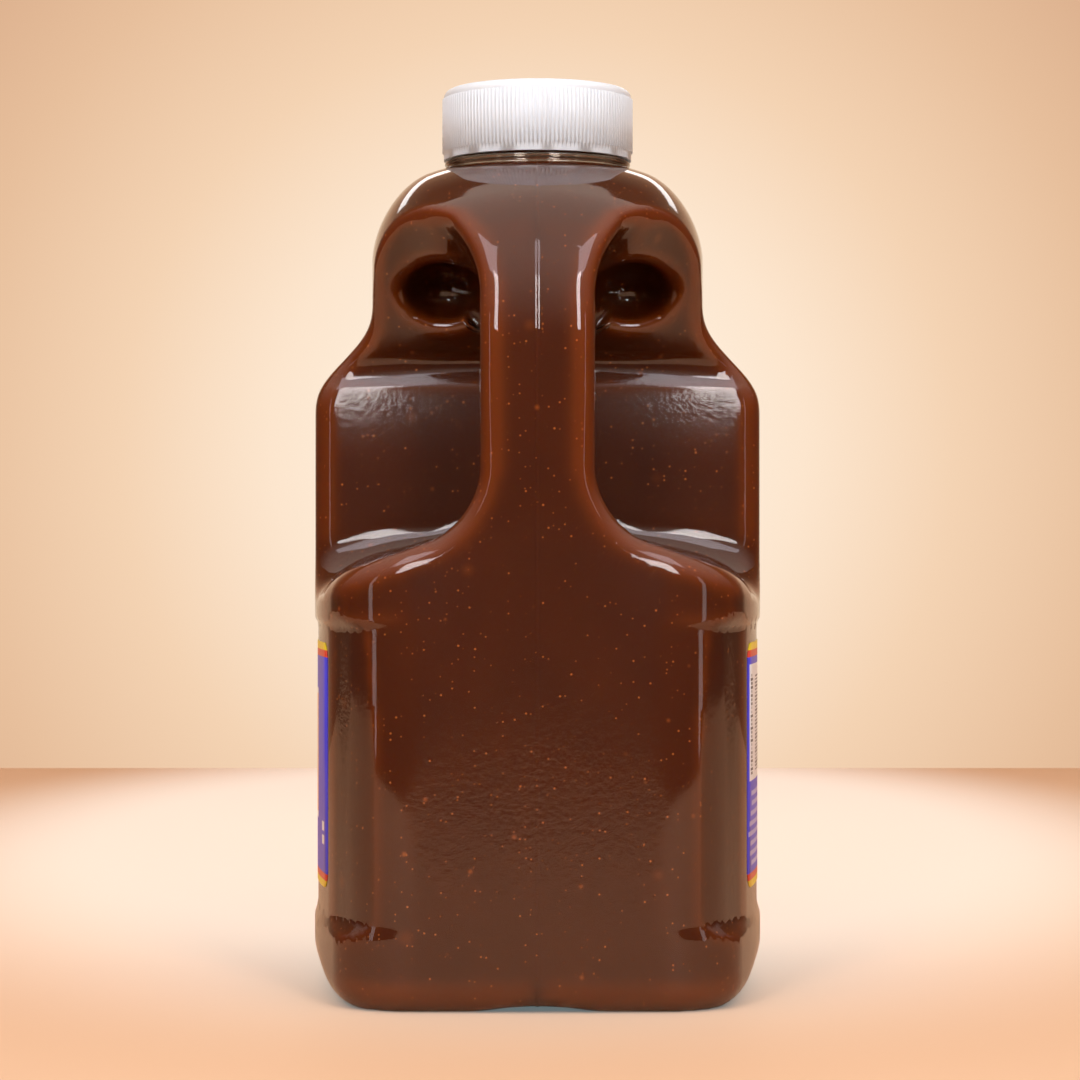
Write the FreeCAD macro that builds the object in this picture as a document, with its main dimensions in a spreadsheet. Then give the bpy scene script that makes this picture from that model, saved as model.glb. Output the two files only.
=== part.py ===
import FreeCAD, Part
import math
import os

import Sketcher
from FreeCAD import Vector

# A blow-moulded jug with a through handle in its front edge, filled with sauce and closed by a
# ribbed screw cap.  +Z is up, the handle faces -Y, and the origin is on the ground under the
# middle of the jug.  Lengths are millimetres, angles are degrees.

doc = FreeCAD.newDocument("sauce_jug")

DIMENSIONS = [
    # the moulded body
    ("half_width", 59.6),
    ("half_depth", 70.0),
    ("side_bow_radius", 203.0),
    ("side_taper", 0.264),
    ("corner_radius", 15.0),
    ("base_radius", 13.0),
    ("wall_thickness", 1.1),
    ("shoulder_start", 151.0),
    ("shoulder_end", 180.5),
    ("hood_half_width", 44.1),
    ("hood_setback", 6.0),
    ("dome_slope", 23.0),
    ("dome_edge_radius", 10.5),
    ("brow_radius", 26.0),
    # the handle and the pocket behind it
    ("handle_half_width", 14.35),
    ("handle_thickness", 24.0),
    ("pocket_back_low", 18.0),
    ("pocket_back_high", 13.0),
    ("step_height", 9.0),
    ("step_radius", 8.0),
    ("roof_foot", 165.0),
    ("roof_foot_radius", 3.0),
    ("roof_rise", 0.875),
    ("hole_rise", 22.5),
    ("hole_top_radius", 9.0),
    ("arch_top", 205.5),
    ("arch_radius", 27.0),
    ("flare_radius", 13.5),
    ("shelf_ridge", 126.5),
    ("shelf_slope", 18.8),
    ("shelf_fillet", 8.0),
    # the finger rest in the pocket's roof
    ("rest_half_length", 36.5),
    ("rest_radius", 5.0),
    ("rest_rise", 16.0),
    ("rest_back", 12.0),
    # the label panels and the flats beside them
    ("panel_bottom", 17.3),
    ("panel_top", 98.5),
    ("panel_low_ledge", 5.8),
    ("panel_high_ledge", 3.7),
    ("panel_depth", 0.9),
    ("panel_setback", 9.6),
    ("facet_angle", 27.64),
    ("facet_depth", 3.6),
    ("facet_low_ledge", 7.3),
    ("facet_high_ledge", 4.65),
    ("label_length", 90.0),
    ("label_bottom", 28.4),
    ("label_top", 91.3),
    ("label_corner", 5.0),
    ("label_thickness", 0.2),
    # the channel under the base
    ("channel_width", 26.0),
    ("channel_rise", 1.6),
    # the neck and its contents
    ("neck_foot", 216.2),
    ("neck_height", 20.7),
    ("neck_radius", 22.9),
    ("neck_wall", 2.3),
    ("collar_width", 2.4),
    ("collar_height", 0.6),
    ("bead_width", 1.5),
    ("bead_bottom", 1.0),
    ("bead_top", 3.4),
    ("bead_slope", 0.4),
    ("bead_rounding", 0.7),
    ("finish_rounding", 0.2),
    ("lip_rounding", 0.8),
    ("sauce_level", 228.0),
    # the cap
    ("cap_clearance", 1.0),
    ("cap_skirt", 1.4),
    ("cap_roof", 2.1),
    ("cap_height", 19.0),
    ("cap_edge_radius", 2.2),
    ("rib_count", 144),
    ("rib_root", 0.3),
    ("rib_height", 0.4),
    ("rib_width", 0.62),
    ("rib_gap_below", 2.2),
    ("rib_gap_above", 2.6),
]

sheet = doc.addObject("Spreadsheet::Sheet", "Dimensions")
for row, (alias, value) in enumerate(DIMENSIONS, start=1):
    sheet.set(f"A{row}", alias)
    sheet.set(f"B{row}", str(value))
    sheet.setAlias(f"B{row}", alias)
doc.recompute()


def size(alias):
    """The value of a cell of the sheet, as a plain number."""
    return float(sheet.get(alias))


def collar_radius():
    return size("neck_radius") + size("collar_width")


def neck_top():
    return size("neck_foot") + size("neck_height")


# ------------------------------------------------------------------ outlines and prisms

def level(height):
    """A horizontal plane: outline coordinates (x, y) at this height."""
    return lambda u, v: Vector(u, v, height)


def frontal(depth):
    """A plane facing the front: outline coordinates (x, z) at this y."""
    return lambda u, v: Vector(u, depth, v)


def lateral(across):
    """A plane facing the side: outline coordinates (y, z) at this x."""
    return lambda u, v: Vector(across, u, v)


# the gap under which two ends of an outline are one point
CLOSED = 1e-6


def outline(corners, plane, grow=0.0):
    """A closed wire through corners (u, v, radius), rounded by arcs and offset outwards by grow."""
    points = [Vector(u, v, 0) for u, v, _ in corners]
    stretches = []
    for index, (_, _, radius) in enumerate(corners):
        here = points[index]
        before = (points[index - 1] - here).normalize()
        after = (points[(index + 1) % len(points)] - here).normalize()
        if radius == 0:
            stretches.append((here, here, here))
            continue
        half_angle = before.getAngle(after) / 2
        inward = (before + after).normalize()
        centre = here + inward * (radius / math.sin(half_angle))
        reach = radius / math.tan(half_angle)
        stretches.append((here + before * reach, centre - inward * radius, here + after * reach))
    edges = []
    for index, (start, middle, end) in enumerate(stretches):
        if not start.isEqual(end, CLOSED):
            arc = Part.Arc(plane(start.x, start.y), plane(middle.x, middle.y), plane(end.x, end.y))
            edges.append(arc.toShape())
        following = stretches[(index + 1) % len(stretches)][0]
        if not end.isEqual(following, CLOSED):
            edges.append(Part.makeLine(plane(end.x, end.y), plane(following.x, following.y)))
    wire = Part.Wire(edges)
    return wire.makeOffset2D(grow, 2) if grow else wire


def mirrored(corners):
    """The corners of one half and their mirror images across the middle plane."""
    return corners + [(-u, v, radius) for u, v, radius in reversed(corners)]


def prism(corners, plane, path, grow=0.0):
    """The solid swept by a flat outline along a straight path."""
    return Part.Face(outline(corners, plane, grow)).extrude(path)


def middle_of(edge):
    return edge.valueAt((edge.FirstParameter + edge.LastParameter) / 2)


def is_sloped(edge):
    """Whether an edge is a straight line that is neither level nor upright."""
    rise = abs(edge.tangentAt(edge.FirstParameter).z)
    return isinstance(edge.Curve, Part.Line) and TOUCH < rise < 1 - TOUCH


# a length past every face, how far a cutting block starts outside what it cuts, and the
# distance under which two places are the same
FAR = 300.0
OVERSHOOT = 1.5
TOUCH = 0.01


# ------------------------------------------------------------------ the moulded form

def side_apex(half_width):
    """Where the two straight ends of a bowed side would meet, out from the middle plane."""
    return half_width + size("side_bow_radius") * (math.hypot(1, size("side_taper")) - 1)


def plan(half_width, back):
    """The jug from above: bowed sides that close in towards a flat front and back."""
    front = size("half_depth")
    taper = size("side_taper")
    apex = side_apex(half_width)
    radius = size("corner_radius")
    return mirrored([
        (apex - front * taper, -front, radius),
        (apex, 0, size("side_bow_radius")),
        (apex - back * taper, back, radius),
    ])


def hood_back():
    return size("half_depth") - size("hood_setback")


def body_block(inset):
    """The straight lower body with its rounded base edge."""
    corners = plan(size("half_width"), size("half_depth"))
    height = size("shoulder_start") - inset
    block = prism(corners, level(inset), Vector(0, 0, height), -inset)
    base_edges = [edge for edge in block.Edges if abs(middle_of(edge).z - inset) < TOUCH]
    return block.makeFillet(size("base_radius") - inset, base_edges)


SHOULDER_STEPS = 8


def shoulder_block(inset):
    """The S-shaped shoulder that draws the body in to the hood."""
    start, end = size("shoulder_start"), size("shoulder_end")
    sections = []
    for step in range(SHOULDER_STEPS + 1):
        rise = step / SHOULDER_STEPS
        blend = rise ** 3 * (10 - 15 * rise + 6 * rise ** 2)
        half_width = size("half_width") + (size("hood_half_width") - size("half_width")) * blend
        back = size("half_depth") - size("hood_setback") * blend
        sections.append(outline(plan(half_width, back), level(start + (end - start) * rise), -inset))
    return Part.makeLoft(sections, True, False)


def dome_height(radius):
    """The height of the dome's cone at a distance from the neck's axis."""
    slope = math.tan(math.radians(size("dome_slope")))
    return size("neck_foot") - (radius - collar_radius()) * slope


def hood_block(inset):
    """The hood under the neck: upright sides, a conical dome and a brow that rolls forward."""
    corners = plan(size("hood_half_width"), hood_back())
    start = size("shoulder_end")
    hood = prism(corners, level(start), Vector(0, 0, FAR - start), -inset)
    drop = inset / math.cos(math.radians(size("dome_slope")))
    rim = 2 * size("half_depth")
    collar = collar_radius()
    cone_profile = Part.makePolygon([
        Vector(0, 0, 0),
        Vector(rim, 0, 0),
        Vector(rim, 0, dome_height(rim) - drop),
        Vector(collar, 0, dome_height(collar) - drop),
        Vector(0, 0, dome_height(collar) - drop),
        Vector(0, 0, 0),
    ])
    cone = Part.Face(cone_profile).revolve(Vector(0, 0, 0), Vector(0, 0, 1), 360)
    hood = hood.common(cone)
    dome = next(face for face in hood.Faces if isinstance(face.Surface, Part.Cone))
    rims = [edge for edge in dome.Edges if not isinstance(edge.Curve, (Part.Line, Part.Circle))]
    hood = hood.makeFillet(size("dome_edge_radius") - inset, rims)
    front = size("half_depth")
    brow = prism(
        [
            (-front, 0, 0),
            (-front, dome_height(front), size("brow_radius")),
            (rim, dome_height(-rim), 0),
            (rim, 0, 0),
        ],
        lateral(-FAR / 2), Vector(FAR, 0, 0), -inset,
    )
    return hood.common(brow)


# ------------------------------------------------------------------ what is cut out of the form

def shelf_height(across):
    """The shelf under the handle falls away from the middle plane to both sides."""
    return size("shelf_ridge") - abs(across) * math.tan(math.radians(size("shelf_slope")))


def pocket_block(grow):
    """The space round the handle: a pocket in each side, joined by the finger hole."""
    low, high = -size("pocket_back_low"), -size("pocket_back_high")
    roof_foot = size("roof_foot")
    across = Vector(FAR, 0, 0)
    under_roof = prism(
        [
            (-FAR, 0, 0),
            (-FAR, roof_foot + (FAR + high) * size("roof_rise"), 0),
            (high, roof_foot, size("roof_foot_radius")),
            (low, roof_foot - size("step_height"), size("step_radius")),
            (low, 0, 0),
        ],
        lateral(-FAR / 2), across, grow,
    )
    half, top = size("handle_half_width"), size("arch_top")
    beyond = 2 * size("half_width")
    right_arch = prism(
        [
            (half, shelf_height(half), size("flare_radius")),
            (half, top, size("arch_radius")),
            (beyond, top, 0),
            (beyond, shelf_height(beyond), 0),
        ],
        frontal(-FAR / 2), Vector(0, FAR, 0), grow,
    )
    left_arch = right_arch.mirror(Vector(0, 0, 0), Vector(1, 0, 0))
    inner_face = size("handle_thickness") - size("half_depth")
    hole_top = roof_foot + size("hole_rise")
    behind_handle = prism(
        [
            (inner_face, 0, 0),
            (inner_face, hole_top, size("hole_top_radius")),
            (0, hole_top, 0),
            (0, 0, 0),
        ],
        lateral(-FAR / 2), across, grow,
    )
    above_shelf = prism(
        [
            (-beyond, FAR, 0),
            (-beyond, shelf_height(beyond), 0),
            (0, shelf_height(0), 0),
            (beyond, shelf_height(beyond), 0),
            (beyond, FAR, 0),
        ],
        frontal(-FAR / 2), Vector(0, FAR, 0), grow,
    )
    pockets = under_roof.common(right_arch.fuse(left_arch))
    hole = under_roof.common(behind_handle).common(above_shelf)
    space = pockets.fuse(hole).removeSplitter()
    back_edges = [edge for edge in space.Edges if abs(middle_of(edge).y - low - grow) < TOUCH]
    shelf_edges = [edge for edge in back_edges if is_sloped(edge)]
    return space.makeFillet(size("shelf_fillet") + grow, shelf_edges)


def rest_block(grow):
    """The finger rest: a round-ended hollow let into the pocket's sloped roof."""
    half, radius = size("rest_half_length"), size("rest_radius")
    height = size("roof_foot") + size("rest_rise")
    low, high = height - radius, height + radius
    roof_there = -size("pocket_back_high") - (size("rest_rise") + radius) / size("roof_rise")
    front = roof_there - OVERSHOOT
    return prism(
        [(-half, low, radius), (half, low, radius), (half, high, radius), (-half, high, radius)],
        frontal(front), Vector(0, -size("rest_back") - front + grow, 0), grow,
    )


def panel_block(inset):
    """The shallow recess for the label in both sides, with sloped ledges above and below."""
    corners = plan(size("half_width"), size("half_depth"))
    bottom, top = size("panel_bottom"), size("panel_top")
    depth = size("panel_depth")
    floor_bottom = bottom + size("panel_low_ledge")
    floor_top = top - size("panel_high_ledge")
    sections = [
        outline(corners, level(height), -inset - deep)
        for height, deep in [(bottom, 0), (floor_bottom, depth), (floor_top, depth), (top, 0)]
    ]
    waist = Part.makeLoft(sections, True, True)
    rise = Vector(0, 0, top - bottom)
    ring = prism(corners, level(bottom), rise, OVERSHOOT - inset).cut(waist)
    edge = size("half_width") - size("panel_setback") - inset
    middle = Part.makeBox(2 * edge, FAR, FAR, Vector(-edge, -FAR / 2, -inset))
    return ring.cut(middle)


def front_corner():
    """The middle of the right front corner's rounding, from above."""
    radius, taper = size("corner_radius"), size("side_taper")
    depth = radius - size("half_depth")
    across = side_apex(size("half_width")) + depth * taper - radius * math.hypot(1, taper)
    return Vector(across, depth, 0)


# how many of its own depths a facet's ledges run on, out into the air
FACET_REACH = 4


def facet_block(grow):
    """The flat that takes off each front corner beside the label, with a ledge at both ends."""
    angle = math.radians(size("facet_angle"))
    outward = Vector(math.cos(angle), -math.sin(angle), 0)
    along = Vector(math.sin(angle), math.cos(angle), 0)
    depth = size("facet_depth")
    face = front_corner().dot(outward) + size("corner_radius") - depth
    bottom = size("panel_bottom") + size("panel_low_ledge")
    top = size("panel_top") - size("panel_high_ledge")
    low_end = bottom - FACET_REACH * size("facet_low_ledge")
    high_end = top + FACET_REACH * size("facet_high_ledge")
    right = prism(
        [
            (face, bottom, 0),
            (face + FACET_REACH * depth, low_end, 0),
            (face + FACET_REACH * depth, high_end, 0),
            (face, top, 0),
        ],
        lambda u, v: outward * u - along * FAR / 2 + Vector(0, 0, v), along * FAR, grow,
    )
    return right.fuse(right.mirror(Vector(0, 0, 0), Vector(1, 0, 0)))


def channel_block(grow):
    """The shallow arched channel along the mould's seam under the base."""
    half, rise = size("channel_width") / 2, size("channel_rise")
    radius = (half ** 2 + rise ** 2) / (2 * rise)
    return Part.makeCylinder(
        radius + grow, FAR, Vector(0, -FAR / 2, rise - radius), Vector(0, 1, 0)
    )


def neck_block():
    """The neck's outside: a collar on the dome, a transfer bead and a plain finish."""
    root, collar = size("neck_radius"), collar_radius()
    bead = root + size("bead_width")
    foot, top = size("neck_foot"), neck_top()
    collar_top = foot + size("collar_height")
    bead_bottom, bead_top = foot + size("bead_bottom"), foot + size("bead_top")
    slope, crest, crease = size("bead_slope"), size("bead_rounding"), size("finish_rounding")
    sunk = foot - 2 * size("wall_thickness")
    profile = outline(
        [
            (0, sunk, 0),
            (collar, sunk, 0),
            (collar, collar_top, crease),
            (root, collar_top, crease),
            (root, bead_bottom, crease),
            (bead, bead_bottom + slope, crest),
            (bead, bead_top - slope, crest),
            (root, bead_top, crease),
            (root, top, size("lip_rounding")),
            (0, top, 0),
        ],
        frontal(0),
    )
    return Part.Face(profile).revolve(Vector(0, 0, 0), Vector(0, 0, 1), 360)


def moulded_form(inset):
    """The jug's solid form, drawn in everywhere by inset."""
    form = body_block(inset).fuse([shoulder_block(inset), hood_block(inset)]).removeSplitter()
    hollows = [panel_block(inset), facet_block(inset), pocket_block(inset), rest_block(inset)]
    return form.cut(hollows + [channel_block(inset)])


# ------------------------------------------------------------------ the bottle and the sauce

def shaped(name, shape):
    """A document object that holds a shape worked out from the sheet."""
    feature = doc.addObject("Part::Feature", name)
    feature.Shape = shape
    feature.Placement = FreeCAD.Placement()
    return feature


skin = shaped("bottle_skin", moulded_form(0).fuse(neck_block()))

bore = Part.makeCylinder(
    size("neck_radius") - size("neck_wall"),
    neck_top() + 1 - size("shoulder_end"),
    Vector(0, 0, size("shoulder_end")),
)
cavity = shaped("bottle_cavity", moulded_form(size("wall_thickness")).fuse(bore))

bottle = doc.addObject("Part::Cut", "bottle")
bottle.Base = skin
bottle.Tool = cavity
bottle.Label = "bottle"

filled = doc.addObject("Part::Box", "filled_space")
filled.Length = FAR
filled.Width = FAR
filled.Placement = FreeCAD.Placement(Vector(-FAR / 2, -FAR / 2, 0), FreeCAD.Rotation())
filled.setExpression("Height", "Dimensions.sauce_level")

sauce = doc.addObject("Part::Common", "sauce")
sauce.Base = cavity
sauce.Tool = filled
sauce.Label = "sauce"


# ------------------------------------------------------------------ the labels

def label_shape(side):
    """A thin sheet that lies in the recess of one side and follows its bow."""
    corners = plan(size("half_width"), size("half_depth"))
    depth, sheet_thickness = size("panel_depth"), size("label_thickness")
    low, high = size("label_bottom"), size("label_top")
    rise = Vector(0, 0, high - low)
    outside = prism(corners, level(low), rise, sheet_thickness - depth)
    inside = prism(corners, level(low), rise, -depth)
    half, corner = size("label_length") / 2, size("label_corner")
    window = prism(
        [(-half, low, corner), (half, low, corner), (half, high, corner), (-half, high, corner)],
        lateral(0), Vector(side * FAR, 0, 0),
    )
    return outside.cut(inside).common(window)


labels = []
for name, side in [("label_left", -1), ("label_right", 1)]:
    label = shaped(name, label_shape(side))
    label.Label = name
    labels.append(label)


# ------------------------------------------------------------------ the cap

cap = doc.addObject("PartDesign::Body", "cap")
cap.Label = "cap"


def origin_plane(role):
    return next(item for item in cap.Origin.OriginFeatures if item.Role == role)


VERTICAL_AXIS = -2


def cap_sketch(name, plane_role, corners):
    """A closed sketch of straight lines, each corner held by expressions of the sheet's sizes.

    A corner is (across, up, formula across, formula up); no formula across puts it on the axis.
    """
    sketch = cap.newObject("Sketcher::SketchObject", name)
    sketch.AttachmentSupport = [(origin_plane(plane_role), "")]
    sketch.MapMode = "FlatFace"
    count = len(corners)
    for index in range(count):
        start = Vector(corners[index][0], corners[index][1], 0)
        end = Vector(corners[(index + 1) % count][0], corners[(index + 1) % count][1], 0)
        sketch.addGeometry(Part.LineSegment(start, end), False)
    for index in range(count):
        following = (index + 1) % count
        sketch.addConstraint(Sketcher.Constraint("Coincident", index, 2, following, 1))
    for index, (across, up, across_formula, up_formula) in enumerate(corners):
        if across_formula:
            tie = sketch.addConstraint(Sketcher.Constraint("DistanceX", -1, 1, index, 1, across))
            sketch.setExpression(f"Constraints[{tie}]", across_formula)
        else:
            sketch.addConstraint(Sketcher.Constraint("PointOnObject", index, 1, VERTICAL_AXIS))
        tie = sketch.addConstraint(Sketcher.Constraint("DistanceY", -1, 1, index, 1, up))
        sketch.setExpression(f"Constraints[{tie}]", up_formula)
    return sketch


INSIDE = "Dimensions.neck_radius + Dimensions.cap_clearance"
OUTSIDE = INSIDE + " + Dimensions.cap_skirt"
SEAT = "Dimensions.neck_foot + Dimensions.neck_height"
TOP = SEAT + " + Dimensions.cap_roof"
BOTTOM = TOP + " - Dimensions.cap_height"
skirt_radius = size("neck_radius") + size("cap_clearance")
rim_radius = skirt_radius + size("cap_skirt")
cap_top = neck_top() + size("cap_roof")
cap_bottom = cap_top - size("cap_height")
cap_profile = cap_sketch("cap_profile", "XZ_Plane", [
    (0, cap_top, None, TOP),
    (rim_radius, cap_top, OUTSIDE, TOP),
    (rim_radius, cap_bottom, OUTSIDE, BOTTOM),
    (skirt_radius, cap_bottom, INSIDE, BOTTOM),
    (skirt_radius, neck_top(), INSIDE, SEAT),
    (0, neck_top(), None, SEAT),
])
doc.recompute()

cap_shell = cap.newObject("PartDesign::Revolution", "cap_shell")
cap_shell.Profile = cap_profile
cap_shell.ReferenceAxis = (cap_profile, ["V_Axis"])
cap_shell.Angle = 360
doc.recompute()

top_edges = [
    f"Edge{index}"
    for index, edge in enumerate(cap_shell.Shape.Edges, start=1)
    if isinstance(edge.Curve, Part.Circle)
    and abs(edge.Curve.Center.z - cap_top) < TOUCH
]
cap_edge = cap.newObject("PartDesign::Fillet", "cap_edge")
cap_edge.Base = (cap_shell, top_edges)
cap_edge.setExpression("Radius", "Dimensions.cap_edge_radius")
doc.recompute()

ROOT = OUTSIDE + " - Dimensions.rib_root"
CREST = OUTSIDE + " + Dimensions.rib_height"
root, crest = rim_radius - size("rib_root"), rim_radius + size("rib_height")
half_rib = size("rib_width") / 2
rib_profile = cap_sketch("rib_profile", "XY_Plane", [
    (root, -half_rib, ROOT, "-Dimensions.rib_width / 2"),
    (crest, -half_rib / 2, CREST, "-Dimensions.rib_width / 4"),
    (crest, half_rib / 2, CREST, "Dimensions.rib_width / 4"),
    (root, half_rib, ROOT, "Dimensions.rib_width / 2"),
])
rib_profile.setExpression("AttachmentOffset.Base.z", BOTTOM + " + Dimensions.rib_gap_below")
doc.recompute()

rib = cap.newObject("PartDesign::Pad", "rib")
rib.Profile = rib_profile
RIB_LENGTH = "Dimensions.cap_height - Dimensions.rib_gap_below - Dimensions.rib_gap_above"
rib.setExpression("Length", RIB_LENGTH)
doc.recompute()

ribs = cap.newObject("PartDesign::PolarPattern", "ribs")
ribs.Originals = [rib]
ribs.Axis = (rib_profile, ["N_Axis"])
ribs.Angle = 360
ribs.setExpression("Occurrences", "Dimensions.rib_count")
cap.Tip = ribs
doc.recompute()


# ------------------------------------------------------------------ checking and writing

for item in doc.Objects:
    if "Invalid" in item.State or "Error" in item.State:
        raise RuntimeError(f"{item.Label} did not recompute: {item.State}")

os.makedirs("parts", exist_ok=True)
for piece in [bottle, sauce, cap] + labels:
    if piece.Shape.isNull() or not piece.Shape.isValid() or len(piece.Shape.Solids) != 1:
        raise RuntimeError(f"{piece.Label} is not one valid solid")
    piece.Shape.exportStep(f"parts/{piece.Label}.step")
    print(piece.Label, round(piece.Shape.Volume / 1000, 2), "cm3", len(piece.Shape.Faces), "faces")
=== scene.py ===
import math

import bmesh
import bpy
import numpy as np
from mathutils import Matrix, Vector


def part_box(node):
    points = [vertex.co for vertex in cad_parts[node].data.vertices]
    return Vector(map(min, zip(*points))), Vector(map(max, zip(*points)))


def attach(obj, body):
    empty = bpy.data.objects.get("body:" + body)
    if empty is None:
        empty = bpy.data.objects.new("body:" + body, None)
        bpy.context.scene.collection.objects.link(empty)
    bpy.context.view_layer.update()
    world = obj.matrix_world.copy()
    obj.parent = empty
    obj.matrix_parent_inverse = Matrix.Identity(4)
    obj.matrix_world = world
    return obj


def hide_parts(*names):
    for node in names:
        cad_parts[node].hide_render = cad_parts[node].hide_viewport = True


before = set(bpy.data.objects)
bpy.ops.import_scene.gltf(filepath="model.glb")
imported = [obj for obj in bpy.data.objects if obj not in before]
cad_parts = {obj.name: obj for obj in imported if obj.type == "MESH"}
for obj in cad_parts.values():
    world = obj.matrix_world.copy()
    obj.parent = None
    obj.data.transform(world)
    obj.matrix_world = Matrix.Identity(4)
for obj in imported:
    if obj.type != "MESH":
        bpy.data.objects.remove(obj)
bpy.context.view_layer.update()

# ---------------------------------------------------------------- sauce
# The brown sauce that fills the bottle to the neck.  Its surface is the bottle's moulded form,
# drawn in to half of the wall's thickness, so that no gap of air shows between sauce and wall.

MM = 0.001
WALL = 1.1 * MM
low, high = (Vector(corner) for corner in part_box("bottle"))
HALF_WIDTH = (high.x - low.x) / 2
HALF_DEPTH = (high.y - low.y) / 2
SIDE_BOW = 203 * MM
CORNER = 15 * MM
SHOULDER = (151 * MM, 180.5 * MM)
HOOD_HALF_WIDTH, HOOD_BACK = 44.4 * MM, 64 * MM

# the base's edge is rounded less at the front, and changes between these depths
BASE_EDGE_BACK, BASE_EDGE_FRONT, BASE_EDGE_CHANGE = 13 * MM, 7.5 * MM, (20 * MM, 60 * MM)

# the dome falls from the collar, more and more steeply as far as DOME_BEND, and then evenly,
# and runs on a little under the collar; its cosine turns a height above it into a distance
COLLAR, UNDER_COLLAR, NECK_FOOT = 25.3 * MM, 5 * MM, 217.4 * MM
DOME_SLOPE, DOME_CURVE, DOME_BEND, DOME_COSINE = 0.287, 7, 22 * MM, 0.9

# the front panel is bowed, and beside its middle it also leans back, up to the shelf; the
# front's two planes round each other off, so that both of them start further out
FRONT_BOW, LEAN_FOOT, LEAN_RADIUS = 450 * MM, 55 * MM, 400 * MM
LEAN_ACROSS, FRONT_END = (6 * MM, 40 * MM), (130 * MM, 160 * MM)
DOME_EDGE, BROW_EDGE = 15.5 * MM, 26 * MM
FRONT = HALF_DEPTH + DOME_EDGE * (1 - math.sqrt(0.5))

# the label panels' ends and depth, the corner facets' direction and place, and how steeply
# the ledges of both rise below and above
PANEL_LOW, PANEL_HIGH, PANEL_HALF_DEPTH = 20.2 * MM, 96.6 * MM, 0.45 * MM
PANEL_LEDGES, FACET_LEDGES = (0.3, 0.45), (0.5, 0.8)
FACET_X, FACET_Y, FACET_REACH, FACET_EDGE = 0.886, 0.464, 69.3 * MM, 0.8 * MM
LEDGE_START, LEDGE_RISE = 1.4 * MM, 0.8

# the handle's spine, and the pocket's back wall, which leans in a little and then steps in
SPINE, SPINE_BACK = 14.35 * MM, -46 * MM
POCKET_LOW, POCKET_HIGH, POCKET_BOW = -18 * MM, -13 * MM, 450 * MM
LEAN_IN, LEAN_SHARE = (137 * MM, 158.3 * MM), 0.28
STEP, STEP_BLEND, BLEND_SHARE = (158.3 * MM, 165.7 * MM), (157 * MM, 167 * MM), 0.15

# the pocket's sloped roof, which is steeper at its outer side, and the arch over the spine
ROOF_FOOT, ROOF_RISE, ROOF_STEEPER, ROOF_EDGE = 165 * MM, 0.875, 0.75, 3 * MM
ROOF_ACROSS = (20 * MM, 46 * MM)
ARCH_TOP, ARCH_EDGE = 205.5 * MM, 27 * MM

# the shelf, which falls to both sides from a rounded ridge and flares into the spine
SHELF_RIDGE, SHELF_FALL, SHELF_COSINE = 126.5 * MM, 0.34, 0.947
RIDGE_EDGE, FLARE = 4 * MM, 13.5 * MM

# the hole behind the spine, and how it runs into the pockets
HOLE_TOP, HOLE_EDGE, HOLE_FOOT_EDGE, HOLE_BLEND = 187 * MM, 9 * MM, 8 * MM, 6 * MM

# the fillet at the pocket wall's foot grows outwards, and is small where it meets the roof
FILLET_MIDDLE, FILLET_OUTSIDE, FILLET_ROOF = 6 * MM, 16 * MM, 2.5 * MM
FILLET_ACROSS, FILLET_UP = (12 * MM, 52 * MM), (135 * MM, 165 * MM)

# the pockets' outer edge, which is tighter at the arch's outer side
POCKET_EDGE, POCKET_EDGE_OUTSIDE = 5.5 * MM, 2.7 * MM
TIGHTER_UP, TIGHTER_ACROSS = (165 * MM, 190 * MM), (25 * MM, 36 * MM)

# the finger rests: the middle and the half sizes of the bowls, as x, y and z
BOWL_MIDDLE = (25 * MM, -30 * MM, 182 * MM)
BOWL_HALF = (11 * MM, 17 * MM, 7.6 * MM)
BOWL_FRONT, BOWL_FRONT_EDGE, BOWL_EDGE = -42 * MM, 2 * MM, 4 * MM

# the channel under the base, and the raised line along the mould's seam, with the cuts that
# give it faces of its own
CHANNEL_RISE, CHANNEL_HALF_WIDTH, CHANNEL_EDGE = 1.6 * MM, 13 * MM, 1.5 * MM
SEAM, SEAM_WIDTH, SEAM_REACH = 0.2 * MM, 0.35 * MM, 0.9 * MM
SEAM_CUTS = (-0.7, -0.35, 0, 0.35, 0.7)


def ramp(value, start, end):
    """0 before start, 1 after end, and a smooth S between them."""
    part = np.clip((value - start) / (end - start), 0, 1)
    return part ** 3 * (10 - 15 * part + 6 * part ** 2)


def both(a, b, radius):
    """Where two solids overlap, with the edge between them rounded."""
    corner = np.hypot(np.maximum(radius + a, 0), np.maximum(radius + b, 0))
    return np.minimum(-radius, np.maximum(a, b)) + corner


def either(a, b, radius):
    """Two solids joined, with the hollow between them filled to a radius."""
    return -both(-a, -b, radius)


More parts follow.
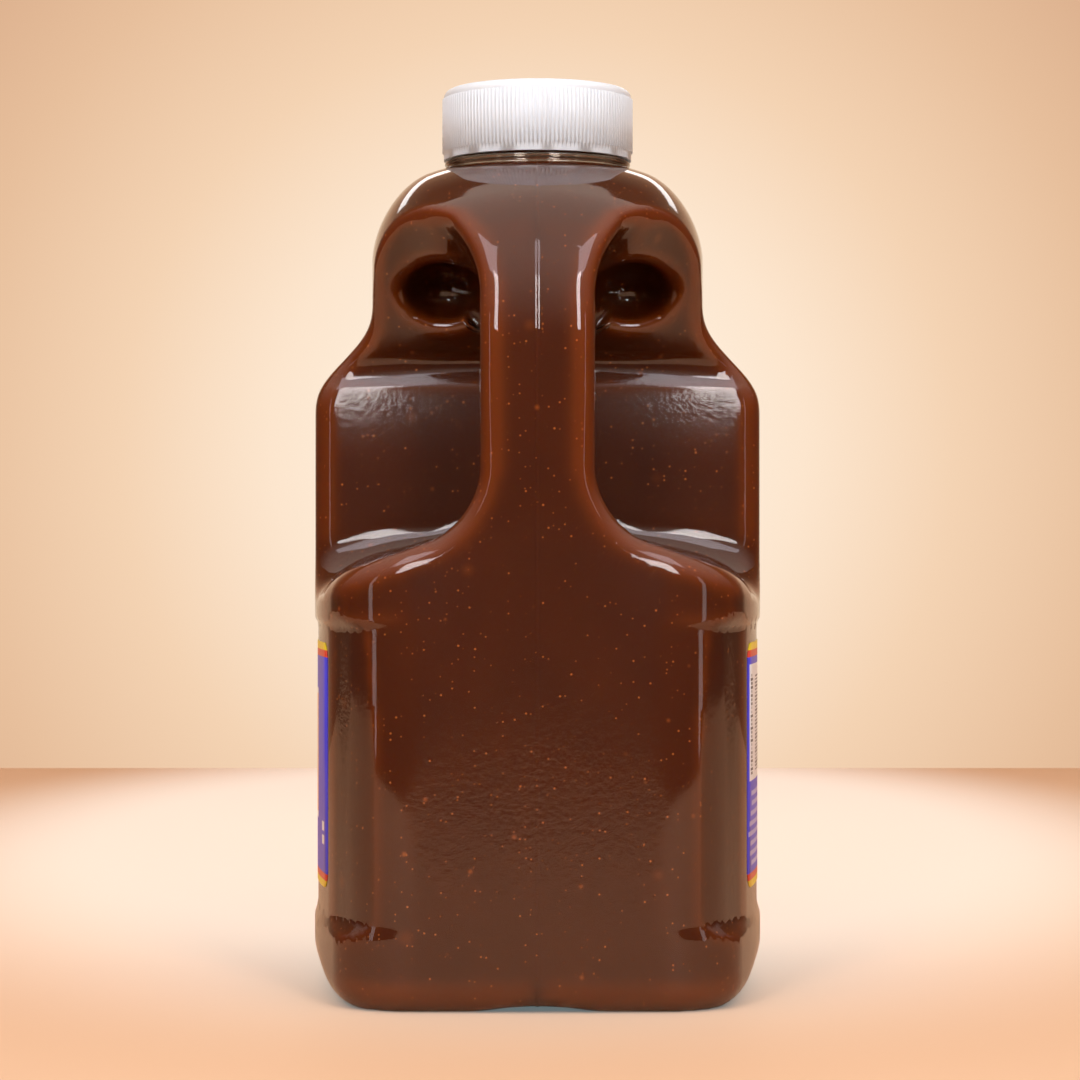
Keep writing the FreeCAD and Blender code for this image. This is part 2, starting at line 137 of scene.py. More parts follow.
def handle_space(across, y, z):
    """The distance to the space round the handle: a pocket in each side and the finger hole."""
    leaning = np.clip((z - LEAN_IN[0]) / (LEAN_IN[1] - LEAN_IN[0]), 0, 1) ** 2
    facet = np.clip((z - STEP[0]) / (STEP[1] - STEP[0]), 0, 1)
    stepping = (1 - BLEND_SHARE) * facet + BLEND_SHARE * ramp(z, *STEP_BLEND)
    step = LEAN_SHARE * leaning + (1 - LEAN_SHARE) * stepping
    wall = POCKET_LOW + (POCKET_HIGH - POCKET_LOW) * step
    behind = y - wall - across ** 2 / (2 * POCKET_BOW)
    rise = ROOF_RISE + ROOF_STEEPER * ramp(across, *ROOF_ACROSS)
    roof = (z - ROOF_FOOT + (y - POCKET_HIGH) * rise) / np.hypot(rise, 1)
    back = both(behind, roof, ROOF_EDGE)
    shelf = (SHELF_RIDGE - SHELF_FALL * np.hypot(across, RIDGE_EDGE) - z) * SHELF_COSINE
    arch = both(SPINE - across, z - ARCH_TOP, ARCH_EDGE)
    arch = both(arch, shelf, FLARE)
    hole = both(both(SPINE_BACK - y, shelf, HOLE_FOOT_EDGE), z - HOLE_TOP, HOLE_EDGE)
    around = either(arch, hole, HOLE_BLEND)
    foot = FILLET_MIDDLE + (FILLET_OUTSIDE - FILLET_MIDDLE) * ramp(across, *FILLET_ACROSS)
    fillet = foot + (FILLET_ROOF - foot) * ramp(z, *FILLET_UP)
    space = both(around, back, fillet)

    # the finger rest: a deep oval bowl in each side of the pocket's sloped roof
    half = np.array(BOWL_HALF)[:, None]
    axes = (np.array([across, y, z]) - np.array(BOWL_MIDDLE)[:, None]) / half
    size = np.sqrt((axes ** 2).sum(axis=0))
    growth = np.sqrt(((axes / half) ** 2).sum(axis=0))
    bowl = (size - 1) * size / np.maximum(growth, 1e-3)
    bowl = both(bowl, BOWL_FRONT - y, BOWL_FRONT_EDGE)
    return either(space, bowl, BOWL_EDGE)


def mould(points):
    """The distance from the inside of the mould, negative where the bottle is."""
    across, y, z = np.abs(points[:, 0]), points[:, 1], points[:, 2]
    shoulder = ramp(z, *SHOULDER)
    half_width = HALF_WIDTH + (HOOD_HALF_WIDTH - HALF_WIDTH) * shoulder
    back = HALF_DEPTH + (HOOD_BACK - HALF_DEPTH) * shoulder
    side = np.hypot(across - (half_width - SIDE_BOW), y) - SIDE_BOW

    # the label panels: a shallow recess round the sides and flat facets at the corners
    below, above = PANEL_LOW - z, z - PANEL_HIGH
    recess = np.maximum(below * PANEL_LEDGES[0], above * PANEL_LEDGES[1])
    label_side = side + PANEL_HALF_DEPTH - np.clip(recess, -PANEL_HALF_DEPTH, PANEL_HALF_DEPTH)
    ledge = np.maximum(below * FACET_LEDGES[0], above * FACET_LEDGES[1])
    facet = across * FACET_X - y * FACET_Y - FACET_REACH - np.maximum(ledge - LEDGE_START, 0)
    facet = facet - np.maximum(np.maximum(below, above) + LEDGE_START, 0) * LEDGE_RISE

    # the front panel
    lean = np.maximum(z - LEAN_FOOT, 0) ** 2 / (2 * LEAN_RADIUS) * ramp(across, *LEAN_ACROSS)
    bow = across ** 2 / (2 * FRONT_BOW) + lean
    bow = np.where(y < 0, bow * (1 - ramp(z, *FRONT_END)), 0)
    form = both(label_side, np.abs(y) - np.where(y > 0, back, FRONT) + SEAM + bow, CORNER)
    form = both(form, facet, FACET_EDGE)

    # the dome, and the brow between it and the front
    radius = np.hypot(across, y)
    out = np.maximum(radius - COLLAR, -UNDER_COLLAR)
    bent = np.clip(out, 0, DOME_BEND)
    steep = 2 * DOME_CURVE * DOME_BEND * (np.maximum(out, bent) - bent)
    dome = (z - NECK_FOOT + DOME_SLOPE * out + DOME_CURVE * bent ** 2 + steep) * DOME_COSINE
    brow = both(dome, -y - FRONT + SEAM, BROW_EDGE)
    form = both(form, brow, DOME_EDGE)
    tighter = (BASE_EDGE_FRONT - BASE_EDGE_BACK) * ramp(-y, *BASE_EDGE_CHANGE)
    form = both(form, -z, BASE_EDGE_BACK + tighter)

    # the space round the handle
    outside = ramp(z, *TIGHTER_UP) * ramp(across, *TIGHTER_ACROSS)
    rounding = POCKET_EDGE + (POCKET_EDGE_OUTSIDE - POCKET_EDGE) * outside
    form = both(form, -handle_space(across, y, z), rounding)

    # the channel along the mould's seam under the base
    bend = CHANNEL_HALF_WIDTH ** 2 / (2 * CHANNEL_RISE)
    channel = np.hypot(across, z - CHANNEL_RISE + bend) - bend
    form = both(form, -channel, CHANNEL_EDGE)

    # the thin raised line where the two halves of the mould meet
    return form - SEAM * np.exp(-(across / SEAM_WIDTH) ** 2)


def slope_of(points):
    """The direction in which the distance grows, as vectors that are about one long."""
    step = 0.05 * MM
    return np.stack([
        (mould(points + offset) - mould(points - offset)) / (2 * step)
        for offset in np.eye(3) * step
    ], axis=1)


def bend_of(points):
    """How strongly the wall is curved there, in 1/m: above 0 on an edge, below 0 in a hollow."""
    step = 0.8 * MM
    total = -6 * mould(points)
    for offset in np.eye(3) * step:
        total = total + mould(points + offset) + mould(points - offset)
    return total / step ** 2


def settle(points, distance):
    """Moves points straight onto the surface that lies at this distance from the mould."""
    for _ in range(3):
        slope = slope_of(points)
        reach = np.maximum((slope ** 2).sum(axis=1), 0.2)
        move = slope * ((mould(points) - distance) / reach)[:, None]
        length = np.linalg.norm(move, axis=1)[:, None]
        points = points - move * np.minimum(1, 1.5 * MM / np.maximum(length, 1e-9))
    return points


def mould_skin(name, distance, grain, neck):
    """A skin on the moulded form with a neck: the poured shape, remeshed evenly and settled.

    distance is how far out of the mould it lies, grain is the size of its faces, and neck is
    the profile of the neck above the dome, as (radius, height) from the foot up.
    """
    piece = bpy.data.objects.new(name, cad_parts["sauce"].data.copy())
    bpy.context.scene.collection.objects.link(piece)
    bm = bmesh.new()
    bm.from_mesh(piece.data)
    bmesh.ops.remove_doubles(bm, verts=bm.verts, dist=0.01 * MM)
    everything = bm.verts[:] + bm.edges[:] + bm.faces[:]
    under_neck = (0, 0, NECK_FOOT - 6.4 * MM)
    bmesh.ops.bisect_plane(
        bm, geom=everything, plane_co=under_neck, plane_no=(0, 0, 1), clear_outer=True
    )
    bmesh.ops.holes_fill(bm, edges=[edge for edge in bm.edges if edge.is_boundary], sides=0)
    bm.to_mesh(piece.data)
    bm.free()
    even = piece.modifiers.new("even", "REMESH")
    even.mode = "VOXEL"
    even.voxel_size = grain
    mesh = bpy.data.meshes.new_from_object(
        piece.evaluated_get(bpy.context.evaluated_depsgraph_get())
    )
    piece.modifiers.clear()
    piece.data = mesh
    mesh.name = name

    points = np.empty(len(mesh.vertices) * 3)
    mesh.vertices.foreach_get("co", points)
    points = points.reshape(-1, 3)
    edges = np.empty(len(mesh.edges) * 2, dtype=np.int32)
    mesh.edges.foreach_get("vertices", edges)
    a, b = edges.reshape(-1, 2).T
    count = np.bincount(np.concatenate([a, b]), minlength=len(points))[:, None]
    for _ in range(8):
        total = np.stack([
            np.bincount(a, weights=points[b, axis], minlength=len(points))
            + np.bincount(b, weights=points[a, axis], minlength=len(points))
            for axis in range(3)
        ], axis=1)
        points = settle(points + (total / count - points) * 0.6, distance)
    mesh.vertices.foreach_set("co", points.ravel())

    bm = bmesh.new()
    bm.from_mesh(mesh)
    everything = bm.verts[:] + bm.edges[:] + bm.faces[:]
    foot = foot_of_neck = neck[0][1]
    bmesh.ops.bisect_plane(
        bm, geom=everything, plane_co=(0, 0, foot), plane_no=(0, 0, 1), clear_outer=True
    )
    ring = [edge for edge in bm.edges if edge.is_boundary]
    radius = sum(edge.verts[0].co.to_2d().length for edge in ring) / len(ring)
    for next_radius, next_height in neck[1:]:
        made = bmesh.ops.extrude_edge_only(bm, edges=ring)["geom"]
        corners = [item for item in made if isinstance(item, bmesh.types.BMVert)]
        ring = [item for item in made if isinstance(item, bmesh.types.BMEdge)]
        ring = [edge for edge in ring if edge.is_boundary]
        factor = next_radius / radius
        bmesh.ops.scale(bm, vec=(factor, factor, 1), verts=corners)
        bmesh.ops.translate(bm, vec=(0, 0, next_height - foot), verts=corners)
        radius, foot = next_radius, next_height
    for across in SEAM_CUTS:
        everything = bm.verts[:] + bm.edges[:] + bm.faces[:]
        bmesh.ops.bisect_plane(
            bm, geom=everything, dist=0.02 * MM, plane_co=(across * MM, 0, 0), plane_no=(1, 0, 0)
        )
    below = [vertex for vertex in bm.verts if vertex.co.z < foot_of_neck]
    seam = [vertex for vertex in below if abs(vertex.co.x) < SEAM_REACH]
    settled = settle(np.array([vertex.co for vertex in seam]), distance)
    for vertex, point in zip(seam, settled):
        vertex.co.yz = point[1:]
    bmesh.ops.recalc_face_normals(bm, faces=bm.faces)
    bm.to_mesh(mesh)
    bm.free()
    return piece


def blurred(mesh, value, rounds):
    """A value of each corner of a mesh, averaged with its neighbours."""
    edges = np.empty(len(mesh.edges) * 2, dtype=np.int32)
    mesh.edges.foreach_get("vertices", edges)
    a, b = edges.reshape(-1, 2).T
    count = np.bincount(np.concatenate([a, b]), minlength=len(value))
    for _ in range(rounds):
        total = np.bincount(a, weights=value[b], minlength=len(value))
        total += np.bincount(b, weights=value[a], minlength=len(value))
        value = (value + total / count) / 2
    return value


def give_normals(mesh):
    """Shades a mesh with the moulded form's own normals, and marks its edges and flat walls."""
    points = np.empty(len(mesh.vertices) * 3)
    mesh.vertices.foreach_get("co", points)
    points = points.reshape(-1, 3)
    normals = slope_of(points)
    normals /= np.linalg.norm(normals, axis=1)[:, None]
    own = np.empty(len(mesh.vertices) * 3)
    mesh.vertices.foreach_get("normal", own)
    own = own.reshape(-1, 3)
    facing = (own * normals).sum(axis=1)
    normals[facing < 0] *= -1
    on_form = (points[:, 2] < NECK_FOOT - 1.5 * MM) & (np.abs(facing) > 0.8)
    normals[~on_form] = 0
    mesh.normals_split_custom_set_from_vertices(normals)

    # an edge is bent by more than these in 1/m, away from the neck and from the mould's seam
    soft_bend, sharp_bend = 15, 260
    curve = bend_of(points) * (points[:, 2] < NECK_FOOT - 3 * MM)
    curve *= np.abs(points[:, 0]) > 2 * MM
    # the edge mark is where the sauce paints its glow, standing in for light through thin sauce
    edge = mesh.attributes.new("edge", "FLOAT", "POINT")
    edge.data.foreach_set("value", blurred(mesh, ramp(curve, soft_bend, sharp_bend), 3))

    # a flat wall is bent by less than these, below the hood and not on the handle's spine
    even_bend, bowed_bend = 12, 60
    hood_foot, spine_foot, spine_front = 176 * MM, 125 * MM, -60 * MM
    flat = mesh.attributes.new("flat", "FLOAT", "POINT")
    level = 1 - ramp(np.abs(curve), even_bend, bowed_bend)
    level = level * (points[:, 2] < hood_foot)
    level = level * (1 - (points[:, 2] > spine_foot) * (points[:, 1] < spine_front))
    flat.data.foreach_set("value", blurred(mesh, level, 3))


def srgb(code):
    """An sRGB hex colour as linear RGBA."""
    parts = [int(code[start:start + 2], 16) / 255 for start in (1, 3, 5)]
    return [c / 12.92 if c <= 0.04045 else ((c + 0.055) / 1.055) ** 2.4 for c in parts] + [1.0]


def add_node(material, kind, settings=None, sockets=None):
    """Adds a node. settings are its properties; sockets are its inputs' values or links."""
    node = material.node_tree.nodes.new(kind)
    for key, value in (settings or {}).items():
        setattr(node, key, value)
    for key, value in (sockets or {}).items():
        if isinstance(value, bpy.types.NodeSocket):
            material.node_tree.links.new(value, node.inputs[key])
        else:
            node.inputs[key].default_value = value
    return node


def new_material(name):
    """An empty material."""
    material = bpy.data.materials.new(name)
    material.use_nodes = True
    material.node_tree.nodes.clear()
    return material


def place(piece, material, slot, *nodes):
    """Puts a finished piece in its body, with its material, in place of CAD nodes."""
    piece.data.materials.clear()
    piece.data.materials.append(material)
    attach(piece, "root")
    if nodes:
        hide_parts(*nodes)


def specks(material, coords, cell, radius, share, blur, strength):
    """A mask of scattered round specks: one in each cell of that size, of which a share shows."""
    cells = add_node(material, "ShaderNodeTexVoronoi", {"voronoi_dimensions": "3D"}, {
        "Vector": coords, "Scale": 1 / cell,
    })
    chance = add_node(material, "ShaderNodeSeparateColor", None, {0: cells.outputs["Color"]})
    size = add_node(material, "ShaderNodeMapRange", None, {
        "Value": chance.outputs[0], "From Min": 1 - share, "From Max": 1,
        "To Min": 0, "To Max": radius / cell,
    })
    beyond = add_node(material, "ShaderNodeMath", {"operation": "SUBTRACT"}, {
        0: cells.outputs["Distance"], 1: size.outputs[0],
    })
    return add_node(material, "ShaderNodeMapRange", {"interpolation_type": "SMOOTHSTEP"}, {
        "Value": beyond.outputs[0], "From Min": -blur * radius / cell, "From Max": 0,
        "To Min": strength, "To Max": 0,
    }).outputs[0]


# A thick brown sauce: dark and a little cloudy, with specks of onion, pepper and spice.  Its bent
# edges are painted lighter, a painted glow that stands in for light shining through thin sauce.
sauce_finish = new_material("brown_sauce")
coords = add_node(sauce_finish, "ShaderNodeTexCoord").outputs["Object"]
cloud = add_node(sauce_finish, "ShaderNodeTexNoise", None, {
    "Vector": coords, "Scale": 1 / (18 * MM), "Detail": 3.0,
})
edge = add_node(sauce_finish, "ShaderNodeAttribute", {"attribute_name": "edge"})
base = add_node(sauce_finish, "ShaderNodeMix", {"data_type": "RGBA"}, {
    0: cloud.outputs[0], 6: srgb("#3D1500"), 7: srgb("#4A1C00"),
})
# painted glow: the bent edges turn a lighter orange, for light shining through thin sauce
base = add_node(sauce_finish, "ShaderNodeMix", {"data_type": "RGBA"}, {
    0: edge.outputs["Fac"], 6: base.outputs[2], 7: srgb("#6A2F06"),
})
# the finest specks are drawn a little coarser than real ones, so that they show
for cell, radius, share, blur, strength, colour in [
    (16 * MM, 3.2 * MM, 0.5, 1.4, 0.45, "#9A4A12"),
    (5.5 * MM, 1.1 * MM, 0.5, 1.3, 0.8, "#A5541C"),
    (1.4 * MM, 0.42 * MM, 0.8, 0.8, 0.95, "#B4622A"),
]:
    mask = specks(sauce_finish, coords, cell, radius, share, blur, strength)
    base = add_node(sauce_finish, "ShaderNodeMix", {"data_type": "RGBA"}, {
        0: mask, 6: base.outputs[2], 7: srgb(colour),
    })
shader = add_node(sauce_finish, "ShaderNodeBsdfPrincipled", None, {
    "Base Color": base.outputs[2], "Roughness": 0.5, "IOR": 1.4, "Specular IOR Level": 0.1,
    "Subsurface Weight": 0.5, "Subsurface Radius": (1.0, 0.35, 0.12), "Subsurface Scale": 2 * MM,
})
add_node(sauce_finish, "ShaderNodeOutputMaterial", None, {0: shader.outputs[0]})

# the sauce stands 228 mm high in the neck; the profile is (radius, height) in millimetres
SAUCE_PROFILE = [(26.0, 215.8), (23.9, 216.4), (23.4, 217), (22.3, 220), (22.3, 228)]
SAUCE_GRAIN = 1.7 * MM
profile = [(radius * MM, level * MM) for radius, level in SAUCE_PROFILE]
sauce = mould_skin("sauce_fill", -WALL / 2, SAUCE_GRAIN, profile)
bm = bmesh.new()
bm.from_mesh(sauce.data)
bmesh.ops.holes_fill(bm, edges=[edge for edge in bm.edges if edge.is_boundary], sides=0)
bm.to_mesh(sauce.data)
bm.free()
sauce.data.shade_smooth()
give_normals(sauce.data)
place(sauce, sauce_finish, "sauce", "sauce")

# ---------------------------------------------------------------- bottle
# The clear PET bottle, blown in a polished mould whose walls are grained where they are flat.
# The skin is drawn up into the collar, the bead and the neck, and given its wall's thickness.

# Clear PET: glass-like and very faintly warm, glossy on the rounded edges and the hood, with a
# fine orange peel from the mould's grain on the flat walls.
pet = new_material("clear_PET")
coords = add_node(pet, "ShaderNodeTexCoord").outputs["Object"]
flat = add_node(pet, "ShaderNodeAttribute", {"attribute_name": "flat"})
grain = add_node(pet, "ShaderNodeTexNoise", None, {
    "Vector": coords, "Scale": 1 / (1.3 * MM), "Detail": 2.0, "Roughness": 0.5,
})
height = add_node(pet, "ShaderNodeMath", {"operation": "MULTIPLY"}, {
    0: grain.outputs[0], 1: flat.outputs["Fac"],
})
bump = add_node(pet, "ShaderNodeBump", None, {
    "Height": height.outputs[0], "Strength": 1.0, "Distance": 0.06 * MM,
})
gloss = add_node(pet, "ShaderNodeMapRange", None, {
    "Value": flat.outputs["Fac"], "To Min": 0.05, "To Max": 0.17,
})
shader = add_node(pet, "ShaderNodeBsdfPrincipled", None, {
    "Base Color": srgb("#FFF3E2"), "Roughness": gloss.outputs[0], "IOR": 1.575,
    "Transmission Weight": 1.0, "Normal": bump.outputs[0],
})
path = add_node(pet, "ShaderNodeLightPath")
clear = add_node(pet, "ShaderNodeBsdfTransparent", None, {0: srgb("#F6EDE4")})
mix = add_node(pet, "ShaderNodeMixShader", None, {
    0: path.outputs["Is Shadow Ray"], 1: shader.outputs[0], 2: clear.outputs[0],
})
add_node(pet, "ShaderNodeOutputMaterial", None, {0: mix.outputs[0]})

BOTTLE_GRAIN = 1.8 * MM
# the collar, the groove, the bead and the neck, as (radius, height) in millimetres
NECK_PROFILE = [
    (27.2, 216.8), (26.4, 216.95), (26.1, 217.15), (25.9, 217.35), (25.2, 217.5), (24.5, 217.6),
    (24.2, 217.8), (24.25, 218.05), (24.6, 218.3), (24.95, 218.6), (25.05, 218.95), (24.95, 219.3),
    (24.5, 219.6), (23.9, 219.8), (23.4, 220.1), (22.9, 220.6), (22.9, 223), (22.9, 229),
    (22.9, 236.4), (22.5, 236.9),
]
profile = [(radius * MM, level * MM) for radius, level in NECK_PROFILE]
bottle = mould_skin("bottle_wall", 0, BOTTLE_GRAIN, profile)
wall = bottle.modifiers.new("wall", "SOLIDIFY")
wall.thickness = WALL
wall.offset = -1
bottle.data = bpy.data.meshes.new_from_object(
    bottle.evaluated_get(bpy.context.evaluated_depsgraph_get())
)
bottle.modifiers.clear()
bottle.data.shade_smooth()
give_normals(bottle.data)
place(bottle, pet, "clear_plastic", "bottle")

# ---------------------------------------------------------------- cap
# The white screw cap, moulded in polypropylene, with fine ribs round its side for the grip and
# a smooth band at its foot.  It is screwed down until its roof rests on the neck's rim.

# White polypropylene: satin and slightly translucent, so that the ribs look soft.
cap_finish = new_material("white_polypropylene")
shader = add_node(cap_finish, "ShaderNodeBsdfPrincipled", None, {
    "Base Color": srgb("#E6EEF8"), "Roughness": 0.38, "IOR": 1.49,
    "Subsurface Weight": 0.45, "Subsurface Radius": (1.0, 0.95, 0.9), "Subsurface Scale": 2.5 * MM,
})
add_node(cap_finish, "ShaderNodeOutputMaterial", None, {0: shader.outputs[0]})
cap = bpy.data.objects.new("screw_cap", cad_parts["cap"].data.copy())
bpy.context.scene.collection.objects.link(cap)
bm = bmesh.new()
bm.from_mesh(cap.data)
bmesh.ops.remove_doubles(bm, verts=bm.verts, dist=0.005 * MM)
bm.to_mesh(cap.data)
bm.free()
cap.data.shade_smooth()
cap.data.set_sharp_from_angle(angle=math.radians(32))
place(cap, cap_finish, "cap_plastic", "cap")

# ---------------------------------------------------------------- labels
# The two labels, printed on thin plastic film and stuck in the recesses of the side panels.
# Each has plain fields of colour between a yellow and a red band; bars and rows stand for print.

BLUE, YELLOW, RED, WHITE = "#4B45DE", "#F4D61C", "#E0442A", "#F1F0F6"
INK, PALE, ORANGE = "#2B2740", "#B7B4EC", "#F0922C"
# middle y, middle z, half length and half height in millimetres, and the colour
BANDS = [
    (0, 29.3, 60, 1.0, YELLOW), (0, 31.2, 60, 0.9, RED),
    (0, 90.4, 60, 1.0, YELLOW), (0, 88.5, 60, 0.9, RED),
]
PRINT = {
    "left": BANDS + [
        (4, 62, 29, 17, WHITE), (4, 62, 27.5, 15.5, ORANGE), (4, 66, 21, 5, WHITE),
        (4, 55.5, 17, 1.4, YELLOW), (4, 51.5, 13, 1.0, YELLOW),
        (-38, 44, 2.2, 1.2, WHITE), (-38, 40.5, 2.2, 1.2, WHITE),
    ],
    "right": BANDS + [(-27, 70.7, 15.5, 15, WHITE)]
    + [
        (-38.2, 57.6 + 1.05 * row, 1.5 + 0.9 * math.sin(row * row), 0.34, INK)
        for row in range(25)
    ]
    + [(-22, 58 + 0.9 * row, 8, 0.16 + 0.14 * math.sin(row * 2.3) ** 2, INK) for row in range(28)]
    + [
        (-29 + 2 * math.cos(row * row), 52.4 - 2.55 * row, 12 - 2 * math.sin(row), 0.62, PALE)
        for row in range(8)
    ]
    + [(18, 62, 17, 17, ORANGE), (18, 62, 14, 14, YELLOW)],
}
for side in ("left", "right"):
    # Printed film: even, strong inks under a smooth, slightly glossy face.
    film = new_material(f"printed_film_{side}")
    coords = add_node(film, "ShaderNodeTexCoord").outputs["Object"]
    axes = add_node(film, "ShaderNodeSeparateXYZ", None, {0: coords})
    ink = srgb(BLUE)
    for y, z, half_length, half_height, colour in PRINT[side]:
        along = add_node(film, "ShaderNodeMath", {"operation": "COMPARE"}, {
            0: axes.outputs[1], 1: y * MM, 2: half_length * MM,
        })
        up = add_node(film, "ShaderNodeMath", {"operation": "COMPARE"}, {
            0: axes.outputs[2], 1: z * MM, 2: half_height * MM,
        })
        inside = add_node(film, "ShaderNodeMath", {"operation": "MULTIPLY"}, {
            0: along.outputs[0], 1: up.outputs[0],
        })
        ink = add_node(film, "ShaderNodeMix", {"data_type": "RGBA"}, {
            0: inside.outputs[0], 6: ink, 7: srgb(colour),
        }).outputs[2]
    shader = add_node(film, "ShaderNodeBsdfPrincipled", None, {
        "Base Color": ink, "Roughness": 0.35, "IOR": 1.5,
    })
    add_node(film, "ShaderNodeOutputMaterial", None, {0: shader.outputs[0]})
    label = bpy.data.objects.new(f"film_label_{side}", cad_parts[f"label_{side}"].data.copy())
    bpy.context.scene.collection.objects.link(label)
    bm = bmesh.new()
    bm.from_mesh(label.data)
    bmesh.ops.remove_doubles(bm, verts=bm.verts, dist=0.005 * MM)
    bm.to_mesh(label.data)
    bm.free()
    place(label, film, "label_film", f"label_{side}")

# ---------------------------------------------------------------- table
# The plain table that the jug stands on, covered with peach-coloured paper.  A pool of light is
# painted on it round and behind the jug, and it runs back to the foot of the backdrop.


def stage_plane(name, width, depth, material):
    """A flat rectangle that isn't part of the object."""
    mesh = bpy.data.meshes.new(name)
    bm = bmesh.new()
    bmesh.ops.create_grid(bm, x_segments=1, y_segments=1, size=0.5)
    bmesh.ops.scale(bm, vec=(width, depth, 1), verts=bm.verts)
    bm.to_mesh(mesh)
    bm.free()
    plane = bpy.data.objects.new(name, mesh)
    bpy.context.scene.collection.objects.link(plane)
    mesh.materials.append(material)
    return plane


# Peach paper: matt, with a painted pool of light that makes it paler to the eye round the jug.
paper = new_material("peach_table")
coords = add_node(paper, "ShaderNodeTexCoord").outputs["Object"]
shader = add_node(paper, "ShaderNodeBsdfPrincipled", None, {
    "Base Color": srgb("#E4BC99"), "Roughness": 0.6, "IOR": 1.3,
})
narrow = add_node(paper, "ShaderNodeVectorMath", {"operation": "MULTIPLY"}, {
    0: coords, 1: (2, 1, 1),
})
distance = add_node(paper, "ShaderNodeVectorMath", {"operation": "DISTANCE"}, {
    0: narrow.outputs[0], 1: (0, 0.37, 0),
})
# the painted pool of light: an emission that only the eye sees, strongest round the jug
painted_light_pool = add_node(paper, "ShaderNodeMapRange", {"interpolation_type": "SMOOTHSTEP"}, {
    "Value": distance.outputs["Value"], "From Min": 0.34, "From Max": 0.6,
    "To Min": 0.42, "To Max": 0,
})
path = add_node(paper, "ShaderNodeLightPath")
share = add_node(paper, "ShaderNodeMath", {"operation": "MULTIPLY"}, {
    0: painted_light_pool.outputs[0], 1: path.outputs["Is Camera Ray"],
})
pale = add_node(paper, "ShaderNodeEmission", None, {0: srgb("#E2FBFF"), 1: share.outputs[0]})
total = add_node(paper, "ShaderNodeAddShader", None, {0: shader.outputs[0], 1: pale.outputs[0]})
# the far sides give off painted light that only gloss sees, so the bottle's facets mirror them as
# light as the middle
axes = add_node(paper, "ShaderNodeSeparateXYZ", None, {0: coords})
aside = add_node(paper, "ShaderNodeMath", {"operation": "ABSOLUTE"}, {0: axes.outputs[0]})
aside = add_node(paper, "ShaderNodeMapRange", {"interpolation_type": "SMOOTHSTEP"}, {
    "Value": aside.outputs[0], "From Min": 0.4, "From Max": 1.0, "To Min": 0, "To Max": 0.13,
})
painted_glow_in_gloss = add_node(paper, "ShaderNodeMath", {"operation": "MULTIPLY"}, {
    0: aside.outputs[0], 1: path.outputs["Is Glossy Ray"],
})
sides = add_node(paper, "ShaderNodeEmission", None, {0: srgb("#F2C9A0"), 1: painted_glow_in_gloss.outputs[0]})
total = add_node(paper, "ShaderNodeAddShader", None, {0: total.outputs[0], 1: sides.outputs[0]})
add_node(paper, "ShaderNodeOutputMaterial", None, {0: total.outputs[0]})
table = stage_plane("table", 3.0, 1.44, paper)
table.location = (0, 0.06, 0)

# ---------------------------------------------------------------- backdrop
# The upright sheet behind the table, with a pool of light painted on it that fades outwards from
# its middle; no lamp lights it.  The painted light shows to the eye, in gloss and through the
# bottle, but none of it falls on the jug.

# A sheet with painted light: nearly white in the middle, through peach to brown at its far edges,
# whose painted dark gives the bottle's sides a darker reflection.
glow = new_material("painted_light_backdrop")
coords = add_node(glow, "ShaderNodeTexCoord").outputs["Object"]
distance = add_node(glow, "ShaderNodeVectorMath", {"operation": "LENGTH"}, {0: coords})
painted_falloff = add_node(glow, "ShaderNodeValToRGB", None, {0: distance.outputs["Value"]})
stops = painted_falloff.color_ramp.elements
stops[0].position, stops[0].color = 0.05, srgb("#FFF1DF")
stops[1].position, stops[1].color = 0.85, srgb("#6E5644")
for position, colour in [
    (0.14, "#FDE6CE"), (0.22, "#F4D3B3"), (0.31, "#E7BF9C"), (0.42, "#D5A684"), (0.6, "#9C7A60"),
]:
    stop = stops.new(position)
    stop.color = srgb(colour)
path = add_node(glow, "ShaderNodeLightPath")
seen = add_node(glow, "ShaderNodeMath", {"operation": "MAXIMUM"}, {
    0: path.outputs["Is Camera Ray"],
    1: add_node(glow, "ShaderNodeMath", {"operation": "MAXIMUM"}, {
        0: path.outputs["Is Glossy Ray"], 1: path.outputs["Is Transmission Ray"],
    }).outputs[0],
})
bright = add_node(glow, "ShaderNodeEmission", None, {0: painted_falloff.outputs[0], 1: 1.0})
plain = add_node(glow, "ShaderNodeBsdfDiffuse", None, {0: srgb("#D8B79A")})
mix = add_node(glow, "ShaderNodeMixShader", None, {
    0: seen.outputs[0], 1: plain.outputs[0], 2: bright.outputs[0],
})
add_node(glow, "ShaderNodeOutputMaterial", None, {0: mix.outputs[0]})
backdrop = stage_plane("backdrop", 3.0, 2.0, glow)
backdrop.location = (0.0, 0.78, 0.17)
backdrop.rotation_euler = (math.radians(90), 0, 0)

# ---------------------------------------------------------------- light and camera
# A pale studio, bright overhead and dim towards the horizon, with seven soft lamps round the
# jug.  A long lens looks straight at its narrow front from about the height of its middle.

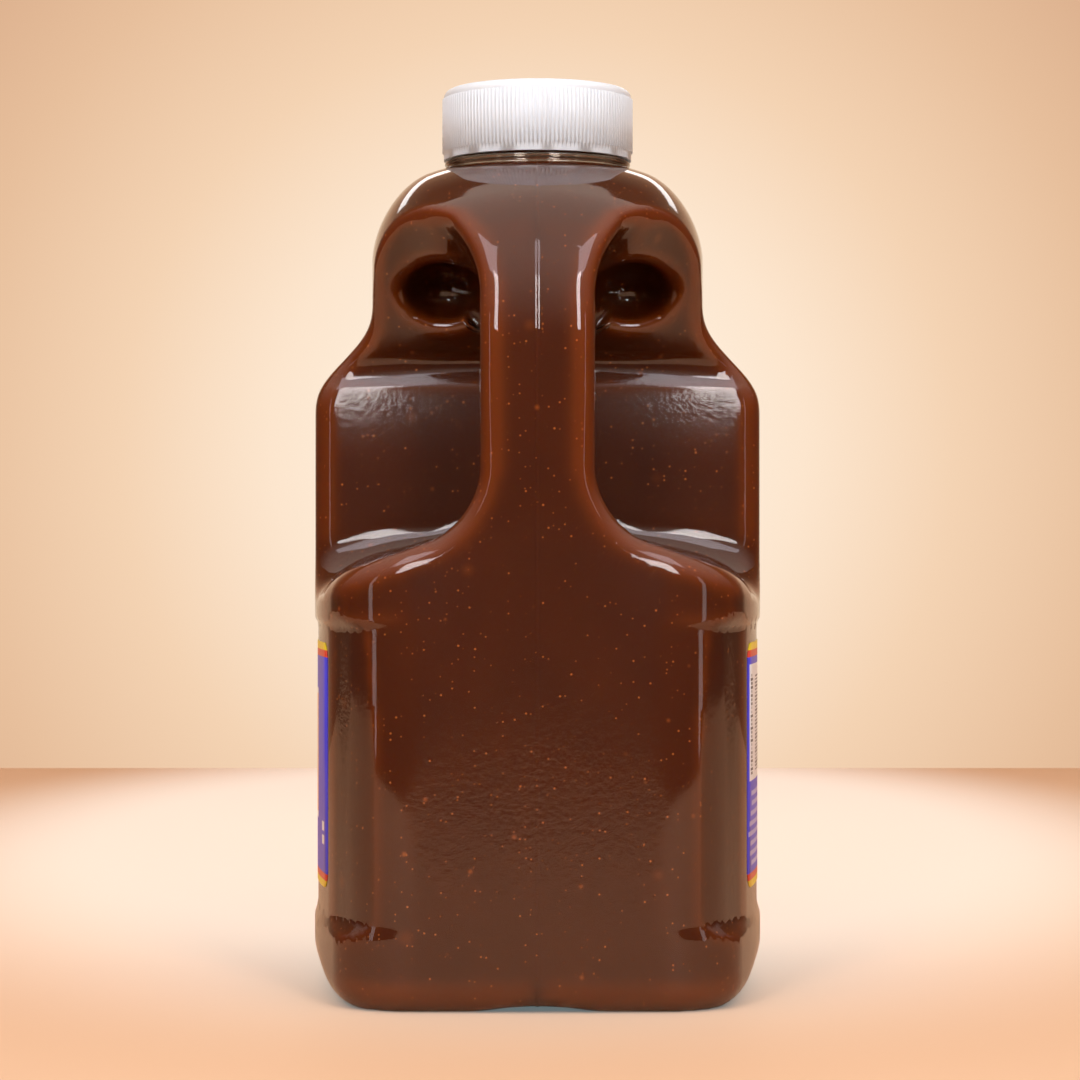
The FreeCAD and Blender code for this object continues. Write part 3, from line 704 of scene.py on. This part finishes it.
world = bpy.data.worlds.new("studio")
bpy.context.scene.world = world
world.use_nodes = True
coords = add_node(world, "ShaderNodeTexCoord").outputs["Generated"]
direction = add_node(world, "ShaderNodeSeparateXYZ", None, {0: coords})
strength = add_node(world, "ShaderNodeMapRange", {"interpolation_type": "SMOOTHSTEP"}, {
    "Value": direction.outputs[2], "From Min": 0.15, "From Max": 0.95,
    "To Min": 0.07, "To Max": 1.1,
})
sky = world.node_tree.nodes["Background"]
sky.inputs[0].default_value = srgb("#FFEEDF")
world.node_tree.links.new(strength.outputs[0], sky.inputs[1])
path = add_node(world, "ShaderNodeLightPath")
seen = add_node(world, "ShaderNodeMath", {"operation": "MAXIMUM"}, {
    0: path.outputs["Is Camera Ray"], 1: path.outputs["Is Transmission Ray"],
})
pale = add_node(world, "ShaderNodeBackground", None, {0: srgb("#F0D6BC"), 1: 1.0})
mix = add_node(world, "ShaderNodeMixShader", None, {
    0: seen.outputs[0], 1: sky.outputs[0], 2: pale.outputs[0],
})
world.node_tree.links.new(mix.outputs[0], world.node_tree.nodes["World Output"].inputs[0])


def softbox(name, spot, target, width, height, power, colour="#FFFFFF"):
    """A rectangular lamp at spot that faces target."""
    lamp = bpy.data.lights.new(name, "AREA")
    lamp.shape = "RECTANGLE"
    lamp.size, lamp.size_y = width, height
    lamp.energy = power
    lamp.color = srgb(colour)[:3]
    box = bpy.data.objects.new(name, lamp)
    bpy.context.scene.collection.objects.link(box)
    box.location = spot
    aim = Vector(target) - Vector(spot)
    box.rotation_euler = aim.to_track_quat("-Z", "Y").to_euler()


softbox("front_left", (-0.43, -1.06, 0.73), (0, 0, 0.5), 0.26, 0.6, 4.6, "#FFFAF8")
softbox("front_right", (0.43, -1.06, 0.73), (0, 0, 0.5), 0.26, 0.6, 5.0, "#FFFAF8")
softbox("top_left", (-0.41, -0.65, 1.0), (-0.1, 0, 0.1), 0.5, 0.5, 2.2, "#F4F2FF")
softbox("top_right", (0.41, -0.65, 1.0), (0.1, 0, 0.1), 0.5, 0.5, 2.2, "#F4F2FF")
softbox("strip_left", (-1.0, -0.85, 0.3), (0, 0, 0.2), 0.1, 0.6, 0.3, "#FFFAF8")
softbox("strip_right", (1.0, -0.85, 0.3), (0, 0, 0.2), 0.1, 0.6, 0.3, "#FFFAF8")
softbox("back_bar", (0, 0.68, 0.52), (0, 0, 0.2), 0.7, 0.07, 0.35, "#FFFFFF")

camera_data = bpy.data.cameras.new("camera")
camera_data.lens = 102
camera_data.sensor_width = 36
camera_data.shift_x = 0.0023
camera_data.shift_y = 0.0074
camera = bpy.data.objects.new("camera", camera_data)
bpy.context.scene.collection.objects.link(camera)
camera.location = (0, -0.827, 0.1156)
camera.rotation_euler = (math.radians(90), 0, 0)
bpy.context.scene.camera = camera
bpy.context.scene.view_settings.view_transform = "Standard"
